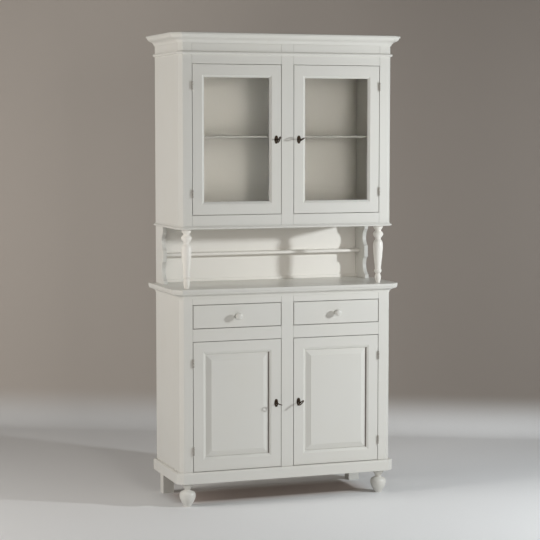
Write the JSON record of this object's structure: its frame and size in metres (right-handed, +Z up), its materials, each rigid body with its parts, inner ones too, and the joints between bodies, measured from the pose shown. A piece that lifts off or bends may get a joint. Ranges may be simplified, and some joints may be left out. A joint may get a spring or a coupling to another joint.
{
  "type": "display cabinet",
  "caption": "Two-part display cabinet: panelled base doors under drawers, an open niche with turned columns and scrolled brackets, and a glazed upper cupboard with a moulded crown.",
  "frame": {"origin": "on the floor, under the middle of the bounding box with doors and drawers shut and the keys in the locks", "axes": "+Z up, -Y out of the front, +X to the right as seen from the front"},
  "size_m": [1.04, 0.41, 2],
  "materials": {
    "ivory_lacquer": "ivory satin lacquer on wood",
    "cabinet_interior": "matt ivory lacquer on board",
    "drawer_wood": "plain softwood",
    "dark_bronze": "antiqued dark bronze",
    "plain_steel": "zinc plated",
    "hinge_nickel": "satin nickel",
    "clear_glass": "clear float glass"
  },
  "bodies": {
    "cabinet": {"front_feet": "ivory_lacquer", "rear_feet": "ivory_lacquer", "plinth": "ivory_lacquer", "base_bottom_board": "cabinet_interior", "base_side_panels": "ivory_lacquer", "base_back_panel": "cabinet_interior", "base_stiles": "ivory_lacquer", "base_rails": "ivory_lacquer", "base_shelf": "cabinet_interior", "drawer_runners": "drawer_wood", "worktop": "ivory_lacquer", "niche_brackets": "ivory_lacquer", "niche_back_board": "ivory_lacquer", "niche_shelf": "ivory_lacquer", "columns": "ivory_lacquer", "upper_bottom_board": "ivory_lacquer", "bead_mouldings": "ivory_lacquer", "upper_side_panels": "ivory_lacquer", "upper_back_panel": "cabinet_interior", "upper_stiles": "ivory_lacquer", "upper_rails": "ivory_lacquer", "display_shelf": "ivory_lacquer", "shelf_pins": "plain_steel", "upper_top_board": "cabinet_interior", "crown": "ivory_lacquer", "hinge_frame_leaves": "hinge_nickel"},
    "drawer_left": {"drawer_front_left": "ivory_lacquer", "drawer_box_left": "drawer_wood", "drawer_knob_left": "ivory_lacquer"},
    "drawer_right": {"drawer_front_right": "ivory_lacquer", "drawer_box_right": "drawer_wood", "drawer_knob_right": "ivory_lacquer"},
    "base_door_left": {"base_door_frame_left": "ivory_lacquer", "base_door_panel_left": "ivory_lacquer", "base_escutcheon_left": "dark_bronze", "base_lock_left": "plain_steel", "base_hinge_leaves_left": "hinge_nickel"},
    "base_key_body_left": {"base_key_left": "dark_bronze"},
    "base_bolt_body_left": {"base_bolt_left": "plain_steel"},
    "base_door_right": {"base_door_frame_right": "ivory_lacquer", "base_door_panel_right": "ivory_lacquer", "base_escutcheon_right": "dark_bronze", "base_lock_right": "plain_steel", "base_hinge_leaves_right": "hinge_nickel"},
    "base_key_body_right": {"base_key_right": "dark_bronze"},
    "base_bolt_body_right": {"base_bolt_right": "plain_steel"},
    "upper_door_left": {"glazed_door_frame_left": "ivory_lacquer", "glass_left": "clear_glass", "upper_escutcheon_left": "dark_bronze", "upper_lock_left": "plain_steel", "upper_hinge_leaves_left": "hinge_nickel"},
    "upper_key_body_left": {"upper_key_left": "dark_bronze"},
    "upper_bolt_body_left": {"upper_bolt_left": "plain_steel"},
    "upper_door_right": {"glazed_door_frame_right": "ivory_lacquer", "glass_right": "clear_glass", "upper_escutcheon_right": "dark_bronze", "upper_lock_right": "plain_steel", "upper_hinge_leaves_right": "hinge_nickel"},
    "upper_key_body_right": {"upper_key_right": "dark_bronze"},
    "upper_bolt_body_right": {"upper_bolt_right": "plain_steel"}
  },
  "joints": [
    {"name": "drawer_left_slide", "type": "slide", "parent": "cabinet", "child": "drawer_left", "axis": [0, -1, 0], "range_m": [0, 0.24]},
    {"name": "drawer_right_slide", "type": "slide", "parent": "cabinet", "child": "drawer_right", "axis": [0, -1, 0], "range_m": [0, 0.24]},
    {"name": "base_door_left_hinge", "type": "hinge", "parent": "cabinet", "child": "base_door_left", "pos_m": [-0.423, -0.1645, 0.428], "axis": [0, 0, -1], "range_deg": [0, 165]},
    {"name": "base_key_left_turn", "type": "hinge", "parent": "base_door_left", "child": "base_key_body_left", "pos_m": [-0.051, -0.16, 0.428], "axis": [0, -1, 0], "range_deg": [0, 90]},
    {"name": "base_bolt_left_slide", "type": "slide", "parent": "base_door_left", "child": "base_bolt_body_left", "axis": [1, 0, 0], "range_m": [0, 0.008]},
    {"name": "base_door_right_hinge", "type": "hinge", "parent": "cabinet", "child": "base_door_right", "pos_m": [0.423, -0.1645, 0.428], "axis": [0, 0, 1], "range_deg": [0, 165]},
    {"name": "base_key_right_turn", "type": "hinge", "parent": "base_door_right", "child": "base_key_body_right", "pos_m": [0.051, -0.16, 0.428], "axis": [0, -1, 0], "range_deg": [0, 90]},
    {"name": "base_bolt_right_slide", "type": "slide", "parent": "base_door_right", "child": "base_bolt_body_right", "axis": [-1, 0, 0], "range_m": [0, 0.008]},
    {"name": "upper_door_left_hinge", "type": "hinge", "parent": "cabinet", "child": "upper_door_left", "pos_m": [-0.423, -0.1645, 1.5555], "axis": [0, 0, -1], "range_deg": [0, 165]},
    {"name": "upper_key_left_turn", "type": "hinge", "parent": "upper_door_left", "child": "upper_key_body_left", "pos_m": [-0.051, -0.16, 1.5555], "axis": [0, -1, 0], "range_deg": [0, 90]},
    {"name": "upper_bolt_left_slide", "type": "slide", "parent": "upper_door_left", "child": "upper_bolt_body_left", "axis": [1, 0, 0], "range_m": [0, 0.008]},
    {"name": "upper_door_right_hinge", "type": "hinge", "parent": "cabinet", "child": "upper_door_right", "pos_m": [0.423, -0.1645, 1.5555], "axis": [0, 0, 1], "range_deg": [0, 165]},
    {"name": "upper_key_right_turn", "type": "hinge", "parent": "upper_door_right", "child": "upper_key_body_right", "pos_m": [0.051, -0.16, 1.5555], "axis": [0, -1, 0], "range_deg": [0, 90]},
    {"name": "upper_bolt_right_slide", "type": "slide", "parent": "upper_door_right", "child": "upper_bolt_body_right", "axis": [-1, 0, 0], "range_m": [0, 0.008]}
  ],
  "couplings": [
    {"joint": "base_key_left_turn", "follows": "base_bolt_left_slide", "rad_per_m": 196.3},
    {"joint": "base_key_right_turn", "follows": "base_bolt_right_slide", "rad_per_m": 196.3},
    {"joint": "upper_key_left_turn", "follows": "upper_bolt_left_slide", "rad_per_m": 196.3},
    {"joint": "upper_key_right_turn", "follows": "upper_bolt_right_slide", "rad_per_m": 196.3}
  ]
}
